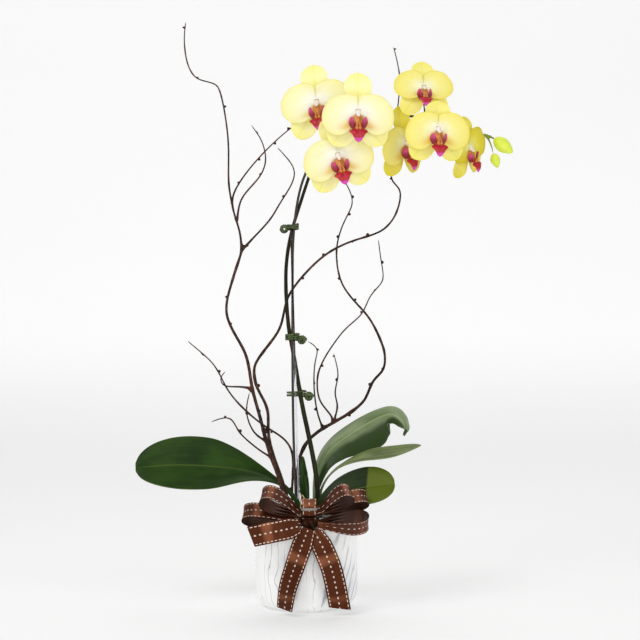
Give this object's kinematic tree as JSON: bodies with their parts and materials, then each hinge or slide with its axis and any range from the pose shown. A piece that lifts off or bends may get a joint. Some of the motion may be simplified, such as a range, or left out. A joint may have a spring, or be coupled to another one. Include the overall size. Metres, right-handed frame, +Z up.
{
  "type": "potted orchid",
  "caption": "Moth orchid in a marbled white pot, its arching flower spike tied to stakes among curly willow sticks, with a satin ribbon bow at the rim.",
  "frame": {"origin": "centre of the pot's flat base, on the surface it stands on", "axes": "+Z up along the pot's axis, -Y towards the viewer and the bow, +X to the viewer's right, the way the spike arches"},
  "size_m": [0.4711, 0.1628, 0.7321],
  "materials": {
    "white_marbled_glaze": "white gloss glaze with fine grey marbled lines",
    "bark": "rough orchid bark with moss",
    "leaf_green": "thick waxy living leaf, satin, dark green",
    "stem_green": "smooth living stem, dark olive green",
    "dark_stake": "dark brown plant stake, matte",
    "clear_plastic": "clear acrylic, polished",
    "tie_green": "dark green plant tie",
    "willow_bark": "dry dark brown bark, reddish at the nodes",
    "petal_yellow": "thin living petal, pale yellow, softly translucent",
    "sepal_yellow": "thin living sepal, yellow, softly translucent",
    "lip_crimson": "waxy living lip, crimson with a pink tip and orange callus",
    "bud_green": "smooth living bud, yellow-green",
    "brown_satin": "brown satin ribbon with pale stitched edges",
    "pick_wood": "pale wooden florist's pick"
  },
  "bodies": {
    "root": {"pot": "white_marbled_glaze", "growing_medium": "bark", "crown": "stem_green", "leaf_left": "leaf_green", "leaf_right_upper": "leaf_green", "leaf_right_narrow": "leaf_green", "leaf_right_lower": "leaf_green", "leaf_young": "leaf_green", "flower_spike": "stem_green", "stake": "dark_stake", "clear_rod": "clear_plastic", "tie_upper": "tie_green", "tie_middle": "tie_green", "tie_lower": "tie_green", "willow_tall": "willow_bark", "willow_crossing": "willow_bark", "willow_right": "willow_bark", "willow_low": "willow_bark", "flower_1_petals": "petal_yellow", "flower_1_sepals": "sepal_yellow", "flower_1_lip": "lip_crimson", "flower_2_petals": "petal_yellow", "flower_2_sepals": "sepal_yellow", "flower_2_lip": "lip_crimson", "flower_3_petals": "petal_yellow", "flower_3_sepals": "sepal_yellow", "flower_3_lip": "lip_crimson", "flower_4_petals": "petal_yellow", "flower_4_sepals": "sepal_yellow", "flower_4_lip": "lip_crimson", "flower_5_petals": "petal_yellow", "flower_5_sepals": "sepal_yellow", "flower_5_lip": "lip_crimson", "flower_6_petals": "petal_yellow", "flower_6_sepals": "sepal_yellow", "flower_6_lip": "lip_crimson", "flower_7_petals": "petal_yellow", "flower_7_sepals": "sepal_yellow", "flower_7_lip": "lip_crimson", "bud_large": "bud_green", "bud_small": "bud_green", "bow_knot": "brown_satin", "bow_loop_left_front": "brown_satin", "bow_loop_left_outer": "brown_satin", "bow_loop_right_front": "brown_satin", "bow_loop_right_back": "brown_satin", "bow_loop_right_lower": "brown_satin", "bow_loop_centre": "brown_satin", "bow_tail_left": "brown_satin", "bow_tail_right": "brown_satin", "bow_tail_side": "brown_satin", "bow_band": "clear_plastic", "bow_pick": "pick_wood"}
  },
  "joints": []
}
